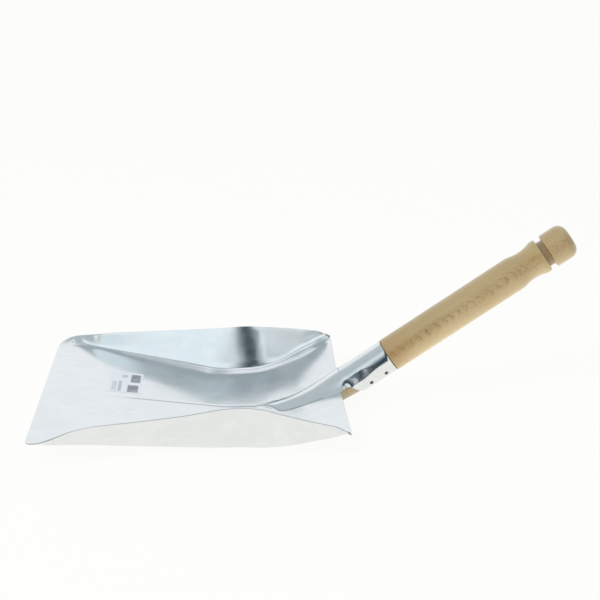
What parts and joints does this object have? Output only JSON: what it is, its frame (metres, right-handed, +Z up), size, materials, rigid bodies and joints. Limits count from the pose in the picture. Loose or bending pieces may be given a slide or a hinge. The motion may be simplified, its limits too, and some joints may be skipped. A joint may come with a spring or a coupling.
{
  "type": "hand feed scoop",
  "caption": "Flat hand scoop: a wide pan pressed from galvanised sheet, its neck rolled into a nailed socket round a turned wooden handle.",
  "frame": {"origin": "centre of the whole scoop's footprint, on the surface it rests on", "axes": "+X from the lip to the handle, +Y across the pan to its left edge seen from the handle's end, +Z up"},
  "size_m": [0.496, 0.2604, 0.1738],
  "materials": {
    "galvanised_sheet": "bright galvanised sheet, half-matt",
    "beech": "turned beech, sanded, thin clear coat",
    "nail_steel": "dull zinc-plated steel",
    "label_paper": "matt printed paper slip"
  },
  "bodies": {
    "root": {"pan": "galvanised_sheet", "handle": "beech", "nail_near_front": "nail_steel", "nail_near_rear": "nail_steel", "nail_far_front": "nail_steel", "nail_far_rear": "nail_steel", "label": "label_paper"}
  },
  "joints": []
}
